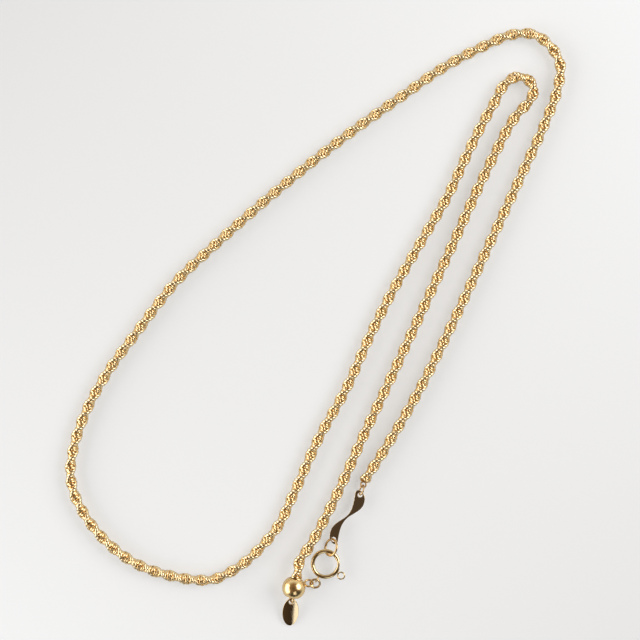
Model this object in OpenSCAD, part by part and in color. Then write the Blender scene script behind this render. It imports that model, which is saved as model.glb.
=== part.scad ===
/* [Rope chain] */
// Width of the twisted rope across its bulges
chain_d = 2.1; // [1.8:0.1:2.4]

/* [Chain end and its links] */
// Middle radius of the ring on the end of the rope
end_ring_r = 0.54; // [0.5:0.02:0.7]
// Wire of the ring on the end of the rope
end_ring_wire = 0.32; // [0.26:0.02:0.36]
// Middle radius of the link from that ring to the plate
plate_link_r = 0.96; // [0.85:0.01:1.1]
// Wire of the link from that ring to the plate
plate_link_wire = 0.3; // [0.24:0.02:0.34]

/* [S plate] */
// Length of the plate from end to end
plate_len = 11.3; // [10:0.1:13]
// Widest part of the lobe beside the rope
upper_lobe_w = 2.1; // [1.9:0.05:2.6]
// Widest part of the lobe beside the clasp
lower_lobe_w = 1.8; // [1.7:0.05:2.4]
// Width of the neck between the lobes
neck_w = 0.4; // [0.3:0.05:0.7]
// How far each lobe swings out to its side
plate_swing = 0.8; // [0.4:0.05:1.1]
// Thickness of the plate
plate_t = 0.3; // [0.2:0.02:0.4]
// Hole in each lobe
plate_hole_d = 0.9; // [0.86:0.02:1]
// Metal between a hole and the end of the plate
plate_rim = 0.3; // [0.25:0.05:0.5]

/* [Clasp jump ring] */
// Middle radius of the jump ring between plate and clasp
clasp_ring_r = 1.57; // [1.4:0.01:1.8]
// Wire of that jump ring
clasp_ring_wire = 0.36; // [0.3:0.02:0.4]

/* [Spring ring] */
// Middle radius of the spring ring
spring_r = 2.45; // [2.3:0.05:3]
// Outer diameter of its tube
tube_d = 0.78; // [0.76:0.02:0.9]
// Diameter of the bolt that closes its mouth
bolt_d = 0.5; // [0.42:0.02:0.56]
// Opening angle of the mouth
mouth_deg = 35; // [28:1:38]
// How far the bolt reaches into the far side of the mouth
bolt_reach_deg = 6; // [4:1:8]
// Middle radius of the soldered eye
eye_r = 0.45; // [0.42:0.01:0.55]
// Wire of the soldered eye
eye_wire = 0.3; // [0.24:0.02:0.34]

/* [Trigger] */
// Middle radius of the trigger's eyelet
eyelet_r = 0.65; // [0.5:0.05:0.8]
// Wire of the trigger's eyelet
eyelet_wire = 0.28; // [0.2:0.02:0.34]
// Thickness of the stem between bolt and eyelet
stem_d = 0.26; // [0.2:0.02:0.3]
// Angle from the mouth's lower edge to the stem
stem_deg = 18; // [16:1:22]

/* [Ball and its ring] */
// Diameter of the sliding ball
ball_d = 4.4; // [4:0.1:5]
// Middle radius of the loop soldered to the ball
ball_loop_r = 0.78; // [0.7:0.01:0.9]
// Wire of the loop soldered to the ball
ball_loop_wire = 0.38; // [0.3:0.02:0.4]
// Middle radius of the jump ring between clasp and ball
ball_ring_r = 0.9; // [0.85:0.01:1.1]
// Wire of the jump ring between clasp and ball
ball_ring_wire = 0.38; // [0.3:0.02:0.4]

/* [End tag] */
// Middle radius of the tag's jump ring
tag_ring_r = 0.76; // [0.72:0.01:0.85]
// Wire of the tag's jump ring
tag_ring_wire = 0.34; // [0.28:0.02:0.38]
// Length of the oval tag
tag_len = 5.7; // [4.5:0.1:7]
// Width of the oval tag
tag_w = 3.1; // [2.6:0.1:4]
// Thickness of the oval tag
tag_t = 0.36; // [0.26:0.02:0.44]
// Hole in the tag
tag_hole_d = 0.9; // [0.86:0.02:1]
// Metal between the hole and the top of the tag
tag_rim = 0.26; // [0.2:0.02:0.4]

/* [Fits] */
// Free gap between two linked wires
link_gap = 0.09; // [0.06:0.01:0.12]
// Running gap of the bolt in its tube, on each side
bolt_gap = 0.04; // [0.03:0.01:0.05]
// Gap between the rope's corners and the bore of the ball
ball_gap = 0.1; // [0.08:0.01:0.2]
// How deep a soldered loop sinks into its carrier
solder = 0.06; // [0.04:0.01:0.07]

/* [Hidden] */
$fn = 48;

gold = [0.86, 0.66, 0.32];
pale_gold = [0.84, 0.72, 0.45];
tan_gold = [0.68, 0.55, 0.33];

// Directions on the table, in degrees from +X
end_way = 252;
plate_way = 243;
clasp_way = 252;
eye_way = 241;
ball_ring_way = 246;
ball_loop_spin = -72;
ball_way = 194;
bore_way = 256;
tag_way = 265;
mouth_way = -19;

// Lean of each ring about the line that it pulls along
end_ring_lean = -16;
plate_link_lean = 74;
clasp_ring_lean = 50;
ball_ring_lean = -10;
ball_ring_dip = -20;
ball_loop_lean = 45;
tag_ring_lean = 62;
tag_ring_dip = -20;

// Route of the rope on the table, from the plate's end up the right side and round
route = [
    [9.4, -29.2], [14, -22], [19.5, -12.5], [26.5, 1.5], [33, 15.5], [39.5, 29.5], [44, 39.5],
    [46, 45], [46.5, 50], [44.5, 53.5], [41.5, 55.5], [37.5, 55.5], [32.5, 53.5], [24, 49],
    [17.5, 44.5], [5.5, 36], [-6.5, 26.5], [-18, 16.5], [-26.5, 8.5], [-33.5, -0.5],
    [-40, -9.5], [-43.5, -16], [-46, -23.5], [-46.5, -27.5], [-46, -31], [-44.5, -34.5],
    [-40, -40.5], [-34, -45], [-26.5, -47.5], [-23.5, -48], [-19.5, -48], [-16, -46.5],
    [-12.5, -44], [-10, -41.5], [-7.5, -38.5], [-4, -31.5], [0.5, -21.5], [6, -11.5],
    [10.5, -1.5], [14, 5.5], [20, 16], [25.5, 25.5], [28.5, 32], [32, 39], [34, 42.5],
    [36, 46], [38, 47.4], [40.3, 47], [41.5, 45.2], [40.8, 43], [38.5, 40.5], [36.5, 37.5],
    [34.8, 34.2], [31.5, 27.5], [26.5, 16.5], [20.5, 3.5], [14, -10.5], [9, -21], [4.5, -31]
];
// Last stretch, where the rope climbs from the table into the ball: x, y and share of the climb
climb = [[1.5, -37, 0.25], [-1, -41.5, 0.65], [-3, -44.5, 0.93]];
// Place in the route where the outer run ends and the inner run begins
meeting = 29;

// Heights of the level pieces
rope_z = chain_d / 2;
clasp_z = clasp_ring_r * sin(clasp_ring_lean) + clasp_ring_wire / 2;
ball_z = ball_d / 2;

// Unit vector along a direction on the table, rising from it by the pitch
function way(turn, pitch = 0) = [cos(pitch) * cos(turn), cos(pitch) * sin(turn), sin(pitch)];
function on_table(p, z) = [p[0], p[1], z];
// Unit vector in the plane of a leaning ring, turned in that plane away from its pull
function in_ring(turn, pitch, lean, spin) = let (pull = way(turn, pitch), level = way(turn + 90))
    cos(spin) * pull + sin(spin) * (cos(lean) * level + sin(lean) * cross(pull, level));

// Rope end, its ring, and the link that carries the plate
rope_start = on_table(route[0], rope_z);
end_ring_step = link_gap + end_ring_r + end_ring_wire / 2;
plate_link_step = end_ring_r + plate_link_r - (end_ring_wire + plate_link_wire) / 2 - link_gap;
end_rise = asin((clasp_z - rope_z) / (end_ring_step + plate_link_step + plate_link_r));
end_ring_c = rope_start + end_ring_step * way(end_way, end_rise);
plate_link_c = end_ring_c + plate_link_step * way(end_way, end_rise);
upper_hole = plate_link_c + plate_link_r * way(end_way, end_rise);

// Plate: holes sit on its wavy middle line, at equal distances from the ends
hole_inset = plate_rim + plate_hole_d / 2;
function swing(a) = plate_swing * sin(360 * a / plate_len);
plate_origin = upper_hole - hole_inset * way(plate_way) - swing(hole_inset) * way(plate_way + 90);
lower_hole = plate_origin + (plate_len - hole_inset) * way(plate_way)
    + swing(plate_len - hole_inset) * way(plate_way + 90);

// Jump ring through the plate's lower hole and round the clasp's tube
clasp_ring_c = lower_hole + clasp_ring_r * way(clasp_way);
clasp_step = 2 * clasp_ring_r - (tube_d + clasp_ring_wire) / 2 - link_gap + spring_r;
clasp_c = lower_hole + clasp_step * way(clasp_way);

// Spring ring: tube bore, eye, mouth and the slot that the stem runs in
bore_d = bolt_d + 2 * bolt_gap;
eye_dist = spring_r + tube_d / 2 + eye_r + eye_wire / 2 - solder;
eye_c = clasp_c + eye_dist * way(eye_way);
stem_way = mouth_way - stem_deg;
bolt_tip = mouth_way + mouth_deg + bolt_reach_deg;
travel = mouth_deg + bolt_reach_deg + 2;
stem_half = asin((stem_d / 2 + bolt_gap) / spring_r);
bolt_tail = 8;
eyelet_dist = spring_r + tube_d / 2 + bolt_gap + eyelet_r + eyelet_wire / 2;

// Jump ring from the eye to the ball's loop, and the ball beyond it
ball_ring_step = eye_r + ball_ring_r - (eye_wire + ball_ring_wire) / 2 - link_gap;
ball_ring_c = eye_c + ball_ring_step * way(ball_ring_way, ball_ring_dip);
ball_loop_step = ball_loop_r + ball_ring_r - (ball_loop_wire + ball_ring_wire) / 2 - link_gap;
ball_loop_c = ball_ring_c
    + ball_loop_step * in_ring(ball_ring_way, ball_ring_dip, ball_ring_lean, ball_loop_spin);
ball_reach = ball_d / 2 + ball_loop_r + ball_loop_wire / 2 - solder;
ball_rise = asin((ball_z - ball_loop_c[2]) / ball_reach);
ball_c = ball_loop_c + ball_reach * way(ball_way, ball_rise);

// Rope through the ball: it is straight in the bore and ends inside it
rope_sides = 8;
rope_corner_r = rope_z / cos(180 / rope_sides);
ball_bore_d = 2 * (rope_corner_r + ball_gap);
rope_entry = ball_c - 1.4 * ball_z * way(bore_way);
rope_end = ball_c + 0.5 * ball_z * way(bore_way);
rope_points = concat(
    [for (p = route) on_table(p, rope_z)],
    [for (p = climb) on_table(p, rope_z + p[2] * (ball_z - rope_z))],
    [rope_entry, rope_end]);

// Tag: its ring starts inside the ball's mouth, and its lower end lies on the table
tag_ring_start = rope_end + (link_gap + tag_ring_wire / 2) * way(bore_way);
tag_ring_c = tag_ring_start + tag_ring_r * way(tag_way, tag_ring_dip);
tag_hole = tag_ring_start + 2 * tag_ring_r * way(tag_way, tag_ring_dip);
tag_inset = tag_rim + tag_hole_d / 2;
tag_drop = asin((tag_hole[2] - tag_t / 2) / (tag_len - tag_inset));

// Smooth curve through the route: each point's direction weighs its two neighbours
function leg(p, i) = norm(p[i + 1] - p[i]);
function leg_way(p, i) = (p[i + 1] - p[i]) / leg(p, i);
function tangent(p, i) =
    i == 0 ? leg_way(p, 0) :
    i == len(p) - 1 ? leg_way(p, i - 1) :
    (leg_way(p, i) * leg(p, i - 1) + leg_way(p, i - 1) * leg(p, i)) / (leg(p, i) + leg(p, i - 1));
function curve(p, i, u) = let (s = leg(p, i))
    (1 + 2 * u) * pow(1 - u, 2) * p[i] + u * pow(1 - u, 2) * s * tangent(p, i)
    + pow(u, 2) * (3 - 2 * u) * p[i + 1] - pow(u, 2) * (1 - u) * s * tangent(p, i + 1);
function heading(p, i, u) = let (s = leg(p, i))
    6 * u * (1 - u) * (p[i + 1] - p[i])
    + (1 - u) * (1 - 3 * u) * s * tangent(p, i) + u * (3 * u - 2) * s * tangent(p, i + 1);

// Rings along one leg: more where it turns, and at least one in four widths of rope
ring_turn = 16;
ring_pitch = 4.4 * chain_d;
function turn(p, i) = acos(min(1, tangent(p, i) * tangent(p, i + 1)
    / norm(tangent(p, i)) / norm(tangent(p, i + 1))));
function ring_count(p, i) = max(1, round(max(turn(p, i) / ring_turn, leg(p, i) / ring_pitch)));
function ring_spots(p, from, to) = concat(
    [for (i = [from : to - 1]) for (k = [0 : ring_count(p, i) - 1]) [i, k / ring_count(p, i)]],
    [[to - 1, 1]]);

// One ring of corners square to the rope, with a flat side down
function corners(c, ahead) = let (f = ahead / norm(ahead), side = cross([0, 0, 1], f),
    s = side / norm(side), up = cross(f, s))
    [for (k = [0 : rope_sides - 1]) let (a = (k + 0.5) * 360 / rope_sides)
        c + rope_corner_r * (cos(a) * s + sin(a) * up)];

module rope_run(from, to) {
    spots = ring_spots(rope_points, from, to);
    n = rope_sides;
    last = (len(spots) - 1) * n;
    polyhedron(
        points = [for (s = spots)
            each corners(curve(rope_points, s[0], s[1]), heading(rope_points, s[0], s[1]))],
        faces = concat(
            [[for (k = [0 : n - 1]) k]],
            [for (j = [0 : len(spots) - 2]) for (k = [0 : n - 1]) let (m = (k + 1) % n)
                each [[j * n + k, (j + 1) * n + k, (j + 1) * n + m],
                    [j * n + k, (j + 1) * n + m, j * n + m]]],
            [[for (k = [n - 1 : -1 : 0]) last + k]]));
}

// Round wire ring that pulls along a direction and leans about it
module wire_ring(centre, turn, pitch, lean, r, wire) {
    translate(centre)
        rotate([0, 0, turn])
            rotate([0, -pitch, 0])
                rotate([lean, 0, 0])
                    rotate_extrude()
                        translate([r, 0])
                            circle(d = wire);
}

// Stretch of a round bar bent along the spring ring
module ring_bar(from, angle, d) {
    translate(clasp_c)
        rotate([0, 0, from])
            rotate_extrude(angle = angle)
                translate([spring_r, 0])
                    circle(d = d);
}

// Width of the plate at a distance along it: a narrow neck, a flare and a round end
stations = 26;
flare = 0.72;
flare_power = 1.7;
function lobe_w(a) = a < plate_len / 2 ? upper_lobe_w : lower_lobe_w;
function off_neck(a) = abs(2 * a / plate_len - 1);
function flared(a) = neck_w
    + (lobe_w(a) - neck_w) * pow(sin(90 * min(off_neck(a) / flare, 1)), flare_power);
function end_share(a) = max(0, 1 - (1 - off_neck(a)) * plate_len / lobe_w(a));
function half_w(a) = flared(a) / 2 * sqrt(max(0, 1 - pow(end_share(a), 2)));
function station(i) = plate_len / 2 * (1 - cos(180 * i / stations));

module plate_outline() {
    polygon(concat(
        [for (i = [0 : stations]) let (a = station(i)) [a, swing(a) + half_w(a)]],
        [for (i = [stations - 1 : -1 : 1]) let (a = station(i)) [a, swing(a) - half_w(a)]]));
}

module tag_outline() {
    polygon([for (i = [0 : 47]) let (a = i * 7.5) [tag_len / 2 * cos(a), tag_w / 2 * sin(a)]]);
}

module chain_outer_run() {
    color(gold)
        rope_run(0, meeting);
}

module chain_inner_run() {
    color(gold)
        rope_run(meeting, len(rope_points) - 1);
}

module chain_end_ring() {
    color(pale_gold)
        wire_ring(end_ring_c, end_way, end_rise, end_ring_lean, end_ring_r, end_ring_wire);
}

module plate_link() {
    color(tan_gold)
        wire_ring(plate_link_c, end_way, end_rise, plate_link_lean, plate_link_r, plate_link_wire);
}

module s_plate() {
    color(tan_gold)
        difference() {
            translate([plate_origin[0], plate_origin[1], clasp_z - plate_t / 2])
                rotate([0, 0, plate_way])
                    linear_extrude(plate_t)
                        plate_outline();
            for (hole = [upper_hole, lower_hole])
                translate(hole)
                    cylinder(d = plate_hole_d, h = 3 * plate_t, center = true);
        }
}

module clasp_jump_ring() {
    color(tan_gold)
        wire_ring(clasp_ring_c, clasp_way, 0, clasp_ring_lean, clasp_ring_r, clasp_ring_wire);
}

module spring_ring() {
    color(pale_gold)
        difference() {
            union() {
                ring_bar(mouth_way + mouth_deg, 360 - mouth_deg, tube_d);
                wire_ring(eye_c, eye_way, 0, 90, eye_r, eye_wire);
            }
            translate(clasp_c)
                rotate_extrude()
                    translate([spring_r, 0])
                        circle(d = bore_d);
            translate(clasp_c)
                rotate([0, 0, stem_way - travel - stem_half])
                    rotate_extrude(angle = travel + 2 * stem_half)
                        translate([spring_r, -stem_d / 2 - bolt_gap])
                            square([tube_d, stem_d + 2 * bolt_gap]);
        }
}

module trigger() {
    color(pale_gold)
        union() {
            ring_bar(stem_way - bolt_tail, bolt_tip - stem_way + bolt_tail, bolt_d);
            translate(clasp_c)
                rotate([0, 0, stem_way])
                    translate([spring_r, 0, 0])
                        rotate([0, 90, 0])
                            cylinder(d = stem_d, h = eyelet_dist - eyelet_r - spring_r);
            translate(clasp_c + eyelet_dist * way(stem_way))
                rotate_extrude()
                    translate([eyelet_r, 0])
                        circle(d = eyelet_wire);
        }
}

module ball_jump_ring() {
    color(tan_gold)
        wire_ring(ball_ring_c, ball_ring_way, ball_ring_dip, ball_ring_lean, ball_ring_r,
            ball_ring_wire);
}

module slide_ball() {
    color(gold)
        difference() {
            union() {
                translate(ball_c)
                    sphere(d = ball_d);
                wire_ring(ball_loop_c, ball_way, ball_rise, ball_loop_lean, ball_loop_r,
                    ball_loop_wire);
            }
            translate(ball_c)
                rotate([0, 90, bore_way])
                    cylinder(d = ball_bore_d, h = 2 * ball_d, center = true);
        }
}

module tag_jump_ring() {
    color(pale_gold)
        wire_ring(tag_ring_c, tag_way, tag_ring_dip, tag_ring_lean, tag_ring_r, tag_ring_wire);
}

module end_tag() {
    color(pale_gold)
        translate(tag_hole)
            rotate([0, 0, tag_way])
                rotate([0, tag_drop, 0])
                    difference() {
                        translate([tag_len / 2 - tag_inset, 0, -tag_t / 2])
                            linear_extrude(tag_t)
                                tag_outline();
                        cylinder(d = tag_hole_d, h = 3 * tag_t, center = true);
                    }
}

chain_outer_run();
chain_inner_run();
chain_end_ring();
plate_link();
s_plate();
clasp_jump_ring();
spring_ring();
trigger();
ball_jump_ring();
slide_ball();
tag_jump_ring();
end_tag();
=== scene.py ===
import math

import bpy
import numpy as np
from mathutils import Matrix, Vector
from mathutils.geometry import tessellate_polygon


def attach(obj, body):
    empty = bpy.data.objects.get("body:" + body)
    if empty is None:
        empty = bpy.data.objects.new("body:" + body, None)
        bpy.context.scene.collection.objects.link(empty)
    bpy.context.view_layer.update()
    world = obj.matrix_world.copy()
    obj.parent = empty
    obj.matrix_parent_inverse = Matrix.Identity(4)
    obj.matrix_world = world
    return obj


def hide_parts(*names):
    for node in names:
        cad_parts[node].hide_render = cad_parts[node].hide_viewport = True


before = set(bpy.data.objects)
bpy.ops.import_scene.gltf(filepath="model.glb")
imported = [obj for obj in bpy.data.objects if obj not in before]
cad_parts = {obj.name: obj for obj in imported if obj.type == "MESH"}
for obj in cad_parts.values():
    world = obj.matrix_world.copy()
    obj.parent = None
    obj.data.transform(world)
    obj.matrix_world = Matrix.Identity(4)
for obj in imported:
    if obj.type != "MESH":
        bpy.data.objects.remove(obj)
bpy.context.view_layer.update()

MM = 0.001
UP = Vector((0, 0, 1))
NECKLACE = "necklace"

# The camera looks straight down on the middle of the photo's frame
FRAME_MIDDLE = Vector((0.912, 1.292, 0)) * MM
FRAME_WIDTH = 121.6 * MM
LENS = 85
SENSOR = 36

# Rope of two strands of leaning round links, with STRAND_LINKS links to a turn in each
ROPE_D = 2.1 * MM
PITCH = 6.04 * MM
STRAND_LINKS = 8
LINK_R = 0.75 * MM
LINK_WIRE = 0.41 * MM
LINK_BREADTH = 1.5
LINK_OUT = 0.18 * MM
LINK_LEAN = math.radians(-38)
LINK_SIDES = 16
LINK_WIRE_SIDES = 6
LINK_SHAKE = math.radians(2.5)
TABLE_GAP = 0.02 * MM

# Route of the rope on the table in millimetres, from the plate's end up the right side and round
ROUTE = [
    (9.4, -29.2), (14, -22), (19.5, -12.5), (26.5, 1.5), (33, 15.5), (39.5, 29.5), (44, 39.5),
    (46, 45), (46.5, 50), (44.5, 53.5), (41.5, 55.5), (37.5, 55.5), (32.5, 53.5), (24, 49),
    (17.5, 44.5), (5.5, 36), (-6.5, 26.5), (-18, 16.5), (-26.5, 8.5), (-33.5, -0.5),
    (-40, -9.5), (-43.5, -16), (-46, -23.5), (-46.5, -27.5), (-46, -31), (-44.5, -34.5),
    (-40, -40.5), (-34, -45), (-26.5, -47.5), (-23.5, -48), (-19.5, -48), (-16, -46.5),
    (-12.5, -44), (-10, -41.5), (-7.5, -38.5), (-4, -31.5), (0.5, -21.5), (6, -11.5),
    (10.5, -1.5), (14, 5.5), (20, 16), (25.5, 25.5), (28.5, 32), (32, 39), (34, 42.5),
    (36, 46), (38, 47.4), (40.3, 47), (41.5, 45.2), (40.8, 43), (38.5, 40.5), (36.5, 37.5),
    (34.8, 34.2), (31.5, 27.5), (26.5, 16.5), (20.5, 3.5), (14, -10.5), (9, -21), (4.5, -31),
]
# Last stretch, where the rope climbs into the ball: x, y and share of the climb
CLIMB = [(1.5, -37, 0.25), (-1, -41.5, 0.65), (-3, -44.5, 0.93)]
# Point of the route at which the outer run meets the inner one
MEETING = 29
# Start and end of the rope's straight stretch into the ball, in radii of the ball from its middle
STRAIGHT_FROM = -1.4
STRAIGHT_TO = 0.5
ROUTE_STEPS = 24

# Sliding ball and its loop
BALL_R = 2.2 * MM
BALL_MIDDLE = Vector((-4.054, -49.393, 2.2)) * MM
BORE_R = 1.2365 * MM
BORE_WAY = math.radians(256)
LIP = 0.14 * MM
LIP_SHARES = (0.25, 0.5, 0.75, 1)
LOOP_MIDDLE = Vector((-1.221, -48.687, 1.128)) * MM
LOOP_R = 0.78 * MM
LOOP_WIRE = 0.38 * MM
LOOP_WAY = math.radians(194)
LOOP_RISE = math.radians(20.2)
LOOP_LEAN = math.radians(45)

# Plate, in millimetres: its width and its swing to the sides follow formulas along its length
PLATE_LEN = 11.3
PLATE_LOBES = (2.1, 1.8)
PLATE_NECK = 0.4
PLATE_SWING = 0.8
PLATE_T = 0.3
PLATE_HOLE_D = 0.9
PLATE_RIM = 0.3
PLATE_FLARE = 0.72
PLATE_POWER = 1.7
PLATE_WAY = math.radians(243)
PLATE_START = Vector((8.577, -31.077, 1.383))
PLATE_EDGE = 0.06

# Oval tag, in millimetres
TAG_LEN = 5.7
TAG_W = 3.1
TAG_T = 0.36
TAG_RIM_T = 0.2
TAG_HOLE_D = 0.9
TAG_INSET = 0.71
TAG_HOLE = Vector((-4.507, -52.136, 1.68))
TAG_WAY = math.radians(265)
TAG_EDGE = 0.08
# Shares of the way from the hole to the rim at which the tag's face has corners
TAG_SHARES = (0.04, 0.12, 0.25, 0.4, 0.55, 0.7, 0.82, 0.91, 0.965)

# Jump rings with a cut: new piece, solid that it replaces, and the cut's turn from the ring's top
JUMP_RINGS = [
    ("clasp_ring_wire", "clasp_jump_ring", 2.2),
    ("ball_ring_wire", "ball_jump_ring", 1.9),
    ("tag_ring_wire", "tag_jump_ring", 1.6),
]
# Cut of a jump ring, with ends rounded over a share of the wire, by shares of that reach and of width
HAIRLINE = 0.03 * MM
END_REACH = 0.08
END_ROUND = [(0, 0.84), (0.3, 0.93), (1, 1)]

# Facets round and along the smooth pieces
RING_STEPS = 74
WIRE_SIDES = 24
LOOP_STEPS = 64
BALL_STEPS = 56
TURNED_SIDES = 96
PLATE_STEPS = 80
HOLE_SIDES = 48
EDGE_STEPS = 5

# World's tones by the height of a direction, from level to overhead
WORLD_TONES = [
    (0.0, (0.8, 0.79, 0.78)),
    (0.35, (0.68, 0.65, 0.61)),
    (0.58, (0.3, 0.22, 0.15)),
    (0.75, (0.2, 0.12, 0.06)),
    (0.95, (0.2, 0.12, 0.06)),
    (0.98, (0.078, 0.058, 0.043)),
]
# The world darkens to the front right: weights of right and front, where it starts, and its limit
FRONT_WEIGHTS = (0.54, 1.7)
FRONT_START = 0.35
FRONT_LIMIT = 0.96

# Lamps: place, aim, size, power and colour
LAMPS = {
    "left_softbox": ((-0.6, -0.065, 0.26), (0, 0, 0), (0.95, 0.5), 3.0, (1, 0.99, 0.98)),
    "right_softbox": ((0.51, 0.13, 0.39), (0, 0, 0), (0.5, 0.4), 2.3, (1, 0.995, 0.99)),
    "front_card": ((0.064, -0.305, 0.241), (-0.005, -0.055, 0), (0.13, 0.2), 0.1, (1, 1, 1)),
}

# Paper floor and its own light, which grows to two corners and is dimmed for glossy rays
FLOOR_HALF = 3.0
PAPER_TONE = (0.605, 0.62, 0.635, 1)
PAPER_LIGHT = (0.95, 0.99, 1.02)
LIGHT_MIDDLE = 0.42
LIGHT_GROWTH = 0.06
LIGHT_SPREAD = 0.0034
LIGHT_LEAST = 0.35
LIGHT_MOST = 0.51
LIGHT_DIMMED = 0.56

# Golds: two tones that drift, roughness, strength of the scratches, and the rope's painted shade, a deeper
# tone for its crevices
GOLDS = {
    "rope_gold": ((1, 0.845, 0.54), (1, 0.79, 0.45), 0.17, 0.1, (1, 0.67, 0.26)),
    "ball_gold": ((1, 0.77, 0.4), (0.98, 0.7, 0.33), 0.2, 0.06),
    "clasp_gold": ((0.9, 0.73, 0.43), (0.86, 0.68, 0.38), 0.08, 0.1),
    "ring_gold": ((0.77, 0.57, 0.31), (0.69, 0.49, 0.24), 0.1, 0.1),
    "plate_gold": ((0.9, 0.73, 0.48), (0.84, 0.66, 0.4), 0.04, 0.08),
}
# Roughness that a full smudge adds
SMUDGE = 0.06
# Shares of the rope's radius between which the painted shade gives way to the drifting tones
SHADE_UNTIL = 0.35
SHADE_GONE = 1.0

# Gold of each solid, apart from the rope's
SOLID_GOLDS = {
    "chain_end_ring": "ring_gold", "plate_link": "ring_gold", "s_plate": "plate_gold",
    "clasp_jump_ring": "ring_gold", "spring_ring": "clasp_gold", "trigger": "clasp_gold",
    "ball_jump_ring": "ring_gold", "slide_ball": "ball_gold", "tag_jump_ring": "ring_gold",
    "end_tag": "plate_gold",
}


class Reading:
    """An output of a node, with which sums are written as plain Python."""

    def __init__(self, bench, socket):
        self.bench = bench
        self.socket = socket

    def also(self, out):
        """Another output of the same node."""
        return Reading(self.bench, self.socket.node.outputs[out])

    def sum(self, operation, *terms):
        return self.bench.node("ShaderNodeMath", {"operation": operation}, dict(enumerate(terms)))

    def __add__(self, other):
        return self.sum("ADD", self, other)

    def __radd__(self, other):
        return self.sum("ADD", other, self)

    def __sub__(self, other):
        return self.sum("SUBTRACT", self, other)

    def __rsub__(self, other):
        return self.sum("SUBTRACT", other, self)

    def __mul__(self, other):
        return self.sum("MULTIPLY", self, other)

    def __rmul__(self, other):
        return self.sum("MULTIPLY", other, self)

    def __truediv__(self, other):
        return self.sum("DIVIDE", self, other)

    def __pow__(self, other):
        return self.sum("POWER", self, other)


class Bench:
    """A node tree and the one way in which nodes are added to it."""

    def __init__(self, tree):
        self.tree = tree
        tree.nodes.clear()

    def node(self, kind, settings=None, sockets=None, out=0):
        """Adds a node, first its settings, then its sockets, and returns one of its outputs."""
        made = self.tree.nodes.new(kind)
        for name, value in (settings or {}).items():
            if name == "stops":
                self.set_stops(made.color_ramp, value)
            else:
                setattr(made, name, value)
        for name, value in (sockets or {}).items():
            if isinstance(value, Reading):
                self.tree.links.new(value.socket, made.inputs[name])
            else:
                made.inputs[name].default_value = value
        return Reading(self, made.outputs[out]) if len(made.outputs) else None

    def set_stops(self, ramp, stops):
        while len(ramp.elements) < len(stops):
            ramp.elements.new(1)
        for element, (place, colour) in zip(ramp.elements, stops):
            element.position = place
            element.color = (*colour, 1)

    def mix(self, share, first, second):
        """A blend of two colours. The numbers are the colour sockets of a Mix node."""
        return self.node("ShaderNodeMix", {"data_type": "RGBA"}, {0: share, 6: first, 7: second}, 2)

    def scaled(self, vector, share):
        return self.node("ShaderNodeVectorMath", {"operation": "SCALE"}, {0: vector, "Scale": share})


def add_camera():
    data = bpy.data.cameras.new("overhead_camera")
    data.lens = LENS
    data.sensor_width = SENSOR
    data.clip_start = 0.01
    camera = bpy.data.objects.new("overhead_camera", data)
    camera.location = FRAME_MIDDLE + UP * (ROPE_D / 2 + FRAME_WIDTH * LENS / SENSOR)
    bpy.context.collection.objects.link(camera)
    bpy.context.scene.camera = camera


def add_world():
    world = bpy.data.worlds.new("studio")
    bpy.context.scene.world = world
    world.use_nodes = True
    bench = Bench(world.node_tree)
    direction = bench.node("ShaderNodeSeparateXYZ", None, {"Vector": bench.node("ShaderNodeTexCoord")})
    tone = bench.node("ShaderNodeValToRGB", {"stops": WORLD_TONES}, {"Fac": direction.also("Z")})
    front = FRONT_WEIGHTS[0] * direction - FRONT_WEIGHTS[1] * direction.also("Y")
    front = bench.node("ShaderNodeClamp", None, {
        "Value": front - FRONT_START, "Min": 0.0, "Max": FRONT_LIMIT})
    tone = bench.scaled(tone, 1 - front)
    back = bench.node("ShaderNodeBackground", None, {"Color": tone, "Strength": 1.0})
    bench.node("ShaderNodeOutputWorld", None, {"Surface": back})


def add_lamp(name, place, aim, size, power, colour):
    data = bpy.data.lights.new(name, "AREA")
    data.shape = "RECTANGLE"
    data.size, data.size_y = size
    data.energy = power
    data.color = colour
    lamp = bpy.data.objects.new(name, data)
    lamp.location = place
    lamp.rotation_euler = (Vector(aim) - Vector(place)).to_track_quat("-Z", "Y").to_euler()
    lamp.visible_camera = False
    bpy.context.collection.objects.link(lamp)


def new_material(name):
    material = bpy.data.materials.new(name)
    material.use_nodes = True
    return material, Bench(material.node_tree)


def paper_finish():
    """White paper with a fine grain, which gives off a part of its own light."""
    material, bench = new_material("white_paper")
    place = bench.node("ShaderNodeTexCoord", out="Object")
    grain = bench.node("ShaderNodeTexNoise", None, {"Vector": place, "Scale": 900.0, "Detail": 3.0})
    bump = bench.node("ShaderNodeBump", None, {"Strength": 0.05, "Distance": 0.0002, "Height": grain})
    spot = bench.node("ShaderNodeSeparateXYZ", None, {"Vector": place})
    corner = spot * spot.also("Y") / LIGHT_SPREAD
    light = bench.node("ShaderNodeClamp", None, {
        "Value": LIGHT_MIDDLE + LIGHT_GROWTH * corner, "Min": LIGHT_LEAST, "Max": LIGHT_MOST})
    mirrored = bench.node("ShaderNodeLightPath", out="Is Glossy Ray")
    light = bench.scaled(PAPER_LIGHT, light * (1 - LIGHT_DIMMED * mirrored))
    surface = bench.node("ShaderNodeBsdfPrincipled", None, {
        "Base Color": PAPER_TONE, "Roughness": 0.9, "Specular IOR Level": 0.2,
        "Normal": bump, "Emission Color": light, "Emission Strength": 1.0})
    bench.node("ShaderNodeOutputMaterial", None, {"Surface": surface})
    return material


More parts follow.
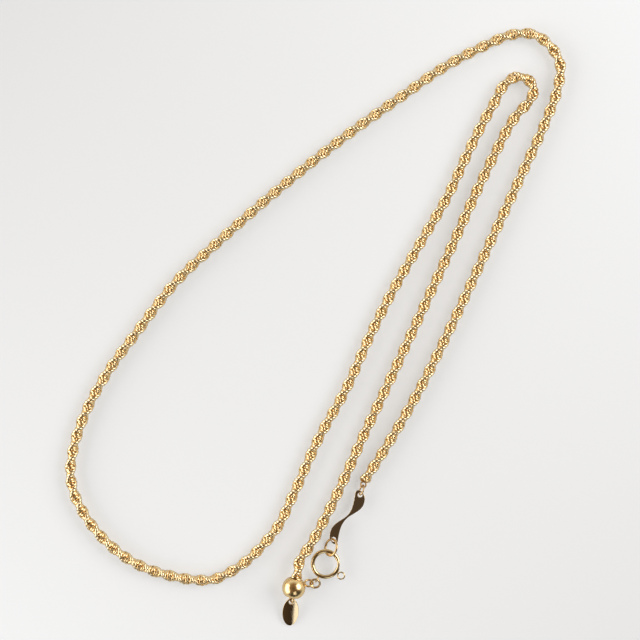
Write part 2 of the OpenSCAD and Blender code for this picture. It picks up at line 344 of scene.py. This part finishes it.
def gold_finish(name, colour, worn, rough, scratch, painted_shade=None):
    """Polished gold whose colour drifts between two tones, with faint scratches and smudges.

    With a shade tone, the parts of links that lie near the rope's middle take that tone as painted shade.
    """
    material, bench = new_material(name)
    place = bench.node("ShaderNodeTexCoord", out="Object")
    drift = bench.node("ShaderNodeTexNoise", None, {"Vector": place, "Scale": 420.0, "Detail": 3.0})
    tone = bench.mix(drift, (*colour, 1), (*worn, 1))
    if painted_shade:
        # Painted shade: the deeper tone darkens the links towards the rope's middle, where its crevices lie
        reach = bench.node("ShaderNodeAttribute", {"attribute_name": "reach"}, out="Fac")
        reach = bench.node("ShaderNodeMapRange", {"interpolation_type": "SMOOTHSTEP"}, {
            "Value": reach, "From Min": SHADE_UNTIL, "From Max": SHADE_GONE, "To Min": 0.0, "To Max": 1.0})
        tone = bench.mix(reach, (*painted_shade, 1), tone)
    stretched = bench.node("ShaderNodeMapping", None, {
        "Vector": place, "Rotation": (0.3, 0.2, 0.9), "Scale": (2500, 26000, 9000)})
    scratches = bench.node("ShaderNodeTexNoise", None, {"Vector": stretched, "Scale": 1.0, "Detail": 4.0})
    smudges = bench.node("ShaderNodeTexNoise", None, {"Vector": place, "Scale": 1500.0, "Detail": 2.0})
    gloss = rough + SMUDGE * smudges + scratch * scratches ** 3
    bump = bench.node("ShaderNodeBump", None, {
        "Strength": 0.12, "Distance": 0.00002, "Height": scratches})
    surface = bench.node("ShaderNodeBsdfPrincipled", None, {
        "Base Color": tone, "Metallic": 1.0, "Roughness": gloss, "Normal": bump})
    bench.node("ShaderNodeOutputMaterial", None, {"Surface": surface})
    return material


def floor_sheet(paper):
    corners = [(-FLOOR_HALF, -FLOOR_HALF, 0), (FLOOR_HALF, -FLOOR_HALF, 0),
               (FLOOR_HALF, FLOOR_HALF, 0), (-FLOOR_HALF, FLOOR_HALF, 0)]
    mesh = bpy.data.meshes.new("paper_floor")
    mesh.from_pydata(corners, [], [(0, 1, 2, 3)])
    mesh.materials.append(paper)
    floor = bpy.data.objects.new("paper_floor", mesh)
    bpy.context.collection.objects.link(floor)


def way(turn, rise=0.0):
    """A direction from its turn on the table and its rise above it."""
    return Vector((math.cos(rise) * math.cos(turn), math.cos(rise) * math.sin(turn), math.sin(rise)))


def outward(spots, faces):
    """Positive when the faces of a closed surface point outwards."""
    return sum(spots[face[0]].dot(spots[face[i]].cross(spots[face[i + 1]]))
               for face in faces for i in range(1, len(face) - 1))


def turned_over(faces):
    return [tuple(reversed(face)) for face in faces]


def shape_piece(name, spots, faces, flat, gold, node):
    """A mesh with all faces outwards that rides the necklace in its solid's place."""
    if outward(spots, faces) < 0:
        faces = turned_over(faces)
    mesh = bpy.data.meshes.new(name)
    mesh.from_pydata(spots, [], faces)
    for polygon, is_flat in zip(mesh.polygons, flat):
        polygon.use_smooth = not is_flat
    mesh.materials.append(gold)
    made = bpy.data.objects.new(name, mesh)
    bpy.context.collection.objects.link(made)
    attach(made, NECKLACE)
    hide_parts(node)


def skin(loops, closed, first=0):
    """Quads between neighbouring loops of points; with closed, also from the last to the first."""
    size = len(loops[0])
    pairs = [(i, i + 1) for i in range(len(loops) - 1)] + ([(len(loops) - 1, 0)] if closed else [])
    return [(first + a * size + i, first + a * size + (i + 1) % size,
             first + b * size + (i + 1) % size, first + b * size + i)
            for a, b in pairs for i in range(size)]


def wire_loops(middle, normal, start, radius, wire, turns, widths):
    """Circles of wire round a ring, at the given turns from its start direction."""
    side = normal.cross(start)
    loops = []
    for turn, width in zip(turns, widths):
        out = math.cos(turn) * start + math.sin(turn) * side
        loops.append([middle + out * (radius + wire / 2 * width * math.cos(a))
                      + normal * (wire / 2 * width * math.sin(a))
                      for a in np.linspace(0, math.tau, WIRE_SIDES, endpoint=False)])
    return loops


def ring_frame(node):
    """Middle, normal, middle radius and wire of a round ring, read from its solid."""
    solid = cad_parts[node]
    spots = np.array([solid.matrix_world @ corner.co for corner in solid.data.vertices])
    middle = spots.mean(axis=0)
    normal = np.linalg.svd(spots - middle, full_matrices=False)[2][2]
    away = spots - middle
    away = away - np.outer(away @ normal, normal)
    reach = np.linalg.norm(away, axis=1)
    return Vector(middle), Vector(normal), (reach.max() + reach.min()) / 2, reach.max() - reach.min()


def jump_ring(name, node, gold, cut_turn):
    """A round wire ring with a hairline cut, its two ends slightly rounded."""
    middle, normal, radius, wire = ring_frame(node)
    top = (UP - normal * UP.dot(normal)).normalized()
    start = math.cos(cut_turn) * top + math.sin(cut_turn) * normal.cross(top)
    half_cut = HAIRLINE / radius / 2
    reach = END_REACH * wire / radius
    turns = [half_cut + share * reach for share, _ in END_ROUND]
    turns += list(np.linspace(turns[-1], math.tau - turns[-1], RING_STEPS)[1:-1])
    turns += [math.tau - turn for turn in turns[len(END_ROUND) - 1::-1]]
    end = [width for _, width in END_ROUND]
    widths = end + [1] * (len(turns) - 2 * len(end)) + end[::-1]
    loops = wire_loops(middle, normal, start, radius, wire, turns, widths)
    faces = skin(loops, False)
    flat = [False] * len(faces) + [True, True]
    last = (len(loops) - 1) * WIRE_SIDES
    faces += [tuple(range(WIRE_SIDES))[::-1], tuple(range(last, last + WIRE_SIDES))]
    shape_piece(name, [spot for loop in loops for spot in loop], faces, flat, gold, node)


def ball_profile():
    """Distances along the bore and radii, over the ball, round a lip and back through the bore."""
    lip = math.asin(BORE_R / BALL_R) + LIP / BALL_R
    profile = [(BALL_R * math.cos(a), BALL_R * math.sin(a))
               for a in np.linspace(lip, math.pi - lip, BALL_STEPS)]
    sharp = math.sqrt(BALL_R ** 2 - BORE_R ** 2)
    bend = (profile[0], (sharp, BORE_R), (sharp - LIP, BORE_R))
    rounded = [tuple((1 - u) ** 2 * a + 2 * u * (1 - u) * b + u ** 2 * c for a, b, c in zip(*bend))
               for u in LIP_SHARES]
    return profile + [(-x, r) for x, r in rounded] + [(0, BORE_R)] + rounded[::-1]


def ball_piece(gold):
    """The drilled ball, turned about its bore with rounded lips, and its soldered loop."""
    along = way(BORE_WAY)
    side = UP.cross(along)
    loops = [[BALL_MIDDLE + along * x + (side * math.cos(a) + UP * math.sin(a)) * r
              for a in np.linspace(0, math.tau, TURNED_SIDES, endpoint=False)] for x, r in ball_profile()]
    faces = skin(loops, True)
    ball = [spot for loop in loops for spot in loop]
    pull = way(LOOP_WAY, LOOP_RISE)
    level = way(LOOP_WAY + math.pi / 2)
    normal = math.cos(LOOP_LEAN) * pull.cross(level) - math.sin(LOOP_LEAN) * level
    turns = np.linspace(0, math.tau, LOOP_STEPS, endpoint=False)
    loops = wire_loops(LOOP_MIDDLE, normal, pull, LOOP_R, LOOP_WIRE, turns, [1] * LOOP_STEPS)
    loop_faces = skin(loops, True, len(ball))
    loop = [spot for circle in loops for spot in circle]
    if outward(ball, faces) * outward(loop, skin(loops, True)) < 0:
        loop_faces = turned_over(loop_faces)
    faces += loop_faces
    shape_piece("ball_shell", ball + loop, faces, [False] * len(faces), gold, "slide_ball")


def plate_side(a):
    """Half the plate's width at a distance along it: a narrow neck, a flare and a round end."""
    lobe = PLATE_LOBES[0] if a < PLATE_LEN / 2 else PLATE_LOBES[1]
    off_neck = abs(2 * a / PLATE_LEN - 1)
    flared = PLATE_NECK + (lobe - PLATE_NECK) * math.sin(
        math.pi / 2 * min(off_neck / PLATE_FLARE, 1)) ** PLATE_POWER
    end_share = max(0, 1 - (1 - off_neck) * PLATE_LEN / lobe)
    return flared / 2 * math.sqrt(max(0, 1 - end_share ** 2))


def plate_swing(a):
    """How far the plate's middle line lies to the side at a distance along it."""
    return PLATE_SWING * math.sin(math.tau * a / PLATE_LEN)


def inset_loop(points, inset):
    """Points of an anticlockwise outline moved inwards, square to it."""
    moved = []
    for before, point, after in zip([points[-1]] + points[:-1], points, points[1:] + points[:1]):
        ahead = (after - before).normalized()
        moved.append(point + inset * Vector((-ahead.y, ahead.x)))
    return moved


def plate_borders():
    """The plate's outline and its two holes, which run the other way round."""
    steps = [PLATE_LEN / 2 * (1 - math.cos(math.pi * i / PLATE_STEPS)) for i in range(PLATE_STEPS + 1)]
    outline = [Vector((a, plate_swing(a) - plate_side(a))) for a in steps]
    outline += [Vector((a, plate_swing(a) + plate_side(a))) for a in steps[-2:0:-1]]
    borders = [outline]
    hole_r = PLATE_HOLE_D / 2
    inset = PLATE_RIM + hole_r
    for a in (inset, PLATE_LEN - inset):
        borders.append([Vector((a + hole_r * math.cos(t), plate_swing(a) - hole_r * math.sin(t)))
                        for t in np.linspace(0, math.tau, HOLE_SIDES, endpoint=False)])
    return borders


def plate_section():
    """Insets and heights down the plate's side, rounded at the upper and the lower edge."""
    section = [(PLATE_EDGE * (1 - math.sin(t)), PLATE_T / 2 - PLATE_EDGE * (1 - math.cos(t)))
               for t in np.linspace(0, math.pi / 2, EDGE_STEPS)]
    return section + [(inset, -height) for inset, height in reversed(section)]


def plate_piece(gold):
    """The S plate with rounded edges on its outline and round its two holes."""
    along = way(PLATE_WAY)
    side = way(PLATE_WAY + math.pi / 2)
    section = plate_section()
    spots, faces, rims, upper, lower = [], [], [], [], []
    for border in plate_borders():
        first = len(spots)
        loops = [[(PLATE_START + along * p.x + side * p.y + UP * height) * MM
                  for p in inset_loop(border, inset)] for inset, height in section]
        faces += skin(loops, False, first)
        spots += [spot for loop in loops for spot in loop]
        rims.append([p.to_3d() for p in inset_loop(border, PLATE_EDGE)])
        upper += range(first, first + len(border))
        lower += range(len(spots) - len(border), len(spots))
    flat = [False] * len(faces)
    for triangle in tessellate_polygon(rims):
        a, b, c = (spots[upper[i]] for i in triangle)
        if (b - a).cross(c - a).z < 0:
            triangle = triangle[::-1]
        faces += [tuple(upper[i] for i in triangle[::-1]), tuple(lower[i] for i in triangle)]
        flat += [True, True]
    shape_piece("plate_sheet", spots, faces, flat, gold, "s_plate")


def tag_path():
    """From the hole's edge to the rim: share of the way and, on a rounded edge, the turn down it."""
    down = list(np.linspace(0, math.pi / 2, EDGE_STEPS))
    path = [(0, turn) for turn in down[::-1]]
    path += [(share, None) for share in TAG_SHARES]
    return path + [(1, turn) for turn in down]


def tag_spot(hole, rim, share, turn):
    """A place on the tag's face between hole and rim, and how far a rounded edge sinks it."""
    ray = (rim - hole).normalized()
    if turn is None:
        return (hole + ray * TAG_EDGE).lerp(rim - ray * TAG_EDGE, share), 0
    end, inwards = (hole, ray) if share == 0 else (rim, -ray)
    return end + inwards * TAG_EDGE * (1 - math.sin(turn)), TAG_EDGE * (1 - math.cos(turn))


def tag_piece(gold):
    """The oval tag, thinner at its sides than along its middle, with rounded edges."""
    drop = math.asin((TAG_HOLE.z - TAG_T / 2) / (TAG_LEN - TAG_INSET))
    along = way(TAG_WAY, -drop)
    side = way(TAG_WAY + math.pi / 2)
    up = along.cross(side)
    rays = []
    for a in np.linspace(0, math.tau, TURNED_SIDES, endpoint=False):
        rim = Vector((TAG_LEN / 2 - TAG_INSET + TAG_LEN / 2 * math.cos(a), TAG_W / 2 * math.sin(a)))
        rays.append((rim.normalized() * TAG_HOLE_D / 2, rim))
    path = tag_path()
    loops = []
    for face, (share, turn) in [(1, row) for row in path] + [(-1, row) for row in reversed(path)]:
        loop = []
        for hole, rim in rays:
            spot, sunk = tag_spot(hole, rim, share, turn)
            crown = (TAG_RIM_T + (TAG_T - TAG_RIM_T) * (1 - (2 * spot.y / TAG_W) ** 2)) / 2
            loop.append((TAG_HOLE + along * spot.x + side * spot.y + up * face * (crown - sunk)) * MM)
        loops.append(loop)
    faces = skin(loops, True)
    spots = [spot for loop in loops for spot in loop]
    shape_piece("tag_sheet", spots, faces, [False] * len(faces), gold, "end_tag")


def rope_points():
    """The rope's points in metres: on the table, up the climb and into the ball."""
    rope_z = LINK_OUT + LINK_R + LINK_WIRE / 2 + TABLE_GAP
    points = [Vector((x * MM, y * MM, rope_z)) for x, y in ROUTE]
    points += [Vector((x * MM, y * MM, rope_z + share * (BALL_R - rope_z))) for x, y, share in CLIMB]
    return points + [BALL_MIDDLE + radii * BALL_R * way(BORE_WAY) for radii in (STRAIGHT_FROM, STRAIGHT_TO)]


def rope_route(name, points, first, last):
    """A curve through some of the points, whose direction at each weighs its two neighbours."""
    legs = [b - a for a, b in zip(points, points[1:])]
    ways = [legs[0].normalized()]
    for before, after in zip(legs, legs[1:]):
        ways.append((after.normalized() * before.length + before.normalized() * after.length)
                    / (before.length + after.length))
    ways.append(legs[-1].normalized())
    curve = bpy.data.curves.new(name, "CURVE")
    curve.dimensions = "3D"
    curve.resolution_u = ROUTE_STEPS
    spline = curve.splines.new("BEZIER")
    spline.bezier_points.add(last - first)
    for knot, i in zip(spline.bezier_points, range(first, last + 1)):
        before = legs[max(i - 1, 0)].length
        after = legs[min(i, len(legs) - 1)].length
        knot.handle_left_type = knot.handle_right_type = "FREE"
        knot.co = points[i]
        knot.handle_left = points[i] - ways[i] * before / 3
        knot.handle_right = points[i] + ways[i] * after / 3
    made = bpy.data.objects.new(name, curve)
    bpy.context.collection.objects.link(made)
    return made, spline.calc_length()


ROPE_INPUTS = {
    "Links": "NodeSocketInt", "Start turn": "NodeSocketFloat", "Turn per link": "NodeSocketFloat",
    "Link radius": "NodeSocketFloat", "Link wire": "NodeSocketFloat", "Wire breadth": "NodeSocketFloat",
    "Link place": "NodeSocketVector", "Link turn": "NodeSocketVector", "Link sides": "NodeSocketInt",
    "Wire sides": "NodeSocketInt", "Shake": "NodeSocketVector", "Seed": "NodeSocketInt",
    "Gold": "NodeSocketMaterial",
}


def one_link(bench, given):
    """A round link in its place on the rope, whose points know how far they are from its middle."""
    ring = bench.node("GeometryNodeCurvePrimitiveCircle", None, {
        "Resolution": given["Link sides"], "Radius": given["Link radius"]})
    wire = bench.node("GeometryNodeCurvePrimitiveCircle", None, {
        "Resolution": given["Wire sides"], "Radius": given["Link wire"] / 2})
    broad = bench.node("ShaderNodeCombineXYZ", None, {"X": 1.0, "Y": given["Wire breadth"], "Z": 1.0})
    wire = bench.node("GeometryNodeTransform", None, {"Geometry": wire, "Scale": broad})
    link = bench.node("GeometryNodeCurveToMesh", None, {"Curve": ring, "Profile Curve": wire})
    link = bench.node("GeometryNodeTransform", None, {
        "Geometry": link, "Translation": given["Link place"], "Rotation": given["Link turn"]})
    link = bench.node("GeometryNodeSetShadeSmooth", None, {"Geometry": link})
    # Each point's distance from the rope's middle, which the rope gold uses for its painted shade
    aside = bench.node("ShaderNodeVectorMath", {"operation": "MULTIPLY"}, {
        0: bench.node("GeometryNodeInputPosition"), 1: (0, 1, 1)})
    reach = bench.node("ShaderNodeVectorMath", {"operation": "LENGTH"}, {0: aside}, "Value") / (ROPE_D / 2)
    return bench.node("GeometryNodeStoreNamedAttribute", {"data_type": "FLOAT", "domain": "POINT"}, {
        "Geometry": link, "Name": "reach", "Value": reach})


def link_seats(bench, route, given):
    """Points at equal steps along the route, and each link's turn: on from the last, a little shaken."""
    number = bench.node("GeometryNodeInputIndex")
    step = bench.node("GeometryNodeCurveLength", None, {"Curve": route}) / given["Links"]
    spot = bench.node("GeometryNodeSampleCurve", {"mode": "LENGTH"}, {
        "Curves": route, "Length": (number + 0.5) * step}, "Position")
    seats = bench.node("GeometryNodeMeshLine", None, {"Count": given["Links"]})
    seats = bench.node("GeometryNodeSetPosition", None, {"Geometry": seats, "Position": spot})
    facing = bench.node("FunctionNodeAxesToRotation", {"primary_axis": "X", "secondary_axis": "Z"}, {
        "Primary Axis": spot.also("Tangent"), "Secondary Axis": (0, 0, 1)})
    twist = bench.node("FunctionNodeAxisAngleToRotation", None, {
        "Axis": (1, 0, 0), "Angle": given["Start turn"] + number * given["Turn per link"]})
    shake = bench.node("FunctionNodeRandomValue", {"data_type": "FLOAT_VECTOR"}, {
        "Min": bench.scaled(given["Shake"], -1.0), "Max": given["Shake"], "Seed": given["Seed"]})
    shake = bench.node("FunctionNodeEulerToRotation", None, {"Euler": shake})
    for more in (twist, shake):
        facing = bench.node("FunctionNodeRotateRotation", {"rotation_space": "LOCAL"}, {
            "Rotation": facing, "Rotate By": more})
    return seats, facing


def rope_tree():
    """Rings of wire along a curve, each turned on from the last, as one plain mesh."""
    tree = bpy.data.node_groups.new("rope_links", "GeometryNodeTree")
    bench = Bench(tree)
    tree.interface.new_socket("Geometry", in_out="INPUT", socket_type="NodeSocketGeometry")
    for name, kind in ROPE_INPUTS.items():
        tree.interface.new_socket(name, in_out="INPUT", socket_type=kind)
    tree.interface.new_socket("Geometry", in_out="OUTPUT", socket_type="NodeSocketGeometry")
    route = bench.node("NodeGroupInput")
    given = {name: route.also(name) for name in ROPE_INPUTS}
    seats, facing = link_seats(bench, route, given)
    links = bench.node("GeometryNodeInstanceOnPoints", None, {
        "Points": seats, "Instance": one_link(bench, given), "Rotation": facing})
    links = bench.node("GeometryNodeRealizeInstances", None, {"Geometry": links})
    links = bench.node("GeometryNodeSetMaterial", None, {"Geometry": links, "Material": given["Gold"]})
    bench.node("NodeGroupOutput", None, {"Geometry": links})
    return tree


def link_turn():
    """Turn of a link that leans away from standing square across the rope."""
    side = Vector((0, 1, 0))
    across = Vector((-math.sin(LINK_LEAN), 0, math.cos(LINK_LEAN)))
    return Matrix((side, across, side.cross(across))).transposed().to_euler()


def plain_mesh(source, name):
    """The evaluated shape of an object as a plain mesh of its own. The source is removed."""
    seen = source.evaluated_get(bpy.context.evaluated_depsgraph_get())
    mesh = bpy.data.meshes.new_from_object(seen)
    mesh.name = name
    made = bpy.data.objects.new(name, mesh)
    bpy.context.collection.objects.link(made)
    bpy.data.objects.remove(source)
    return made


def make_rope(gold):
    """The two runs of the rope. The second goes on with the turn at which the first ends."""
    points = rope_points()
    tree = rope_tree()
    step = PITCH / (2 * STRAND_LINKS)
    values = {
        "Turn per link": math.pi * (1 + 1 / STRAND_LINKS), "Link radius": LINK_R,
        "Link wire": LINK_WIRE, "Wire breadth": LINK_BREADTH, "Link place": (0, LINK_OUT, 0),
        "Link turn": link_turn(), "Link sides": LINK_SIDES, "Wire sides": LINK_WIRE_SIDES,
        "Shake": (LINK_SHAKE, LINK_SHAKE, LINK_SHAKE), "Start turn": 0.0, "Gold": gold,
    }
    runs = [("rope_outer_links", "chain_outer_run", 0, MEETING),
            ("rope_inner_links", "chain_inner_run", MEETING, len(points) - 1)]
    for name, node, first, last in runs:
        route, length = rope_route(node + "_route", points, first, last)
        values["Links"] = round(length / step)
        values["Seed"] = first + 1
        modifier = route.modifiers.new("links", "NODES")
        modifier.node_group = tree
        for item in tree.interface.items_tree:
            if item.in_out == "INPUT" and item.name in values:
                modifier[item.identifier] = values[item.name]
        rope = plain_mesh(route, name)
        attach(rope, NECKLACE)
        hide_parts(node)
        values["Start turn"] += values["Links"] * values["Turn per link"]


add_camera()
add_world()
for name, setting in LAMPS.items():
    add_lamp(name, *setting)
floor_sheet(paper_finish())
golds = {name: gold_finish(name, *tones) for name, tones in GOLDS.items()}
for node, name in SOLID_GOLDS.items():
    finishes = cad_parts[node].data.materials
    finishes.clear()
    finishes.append(golds[name])
make_rope(golds["rope_gold"])
for name, node, cut_turn in JUMP_RINGS:
    jump_ring(name, node, golds["ring_gold"], cut_turn)
ball_piece(golds["ball_gold"])
plate_piece(golds["plate_gold"])
tag_piece(golds["plate_gold"])
bpy.context.scene.view_settings.view_transform = "Standard"
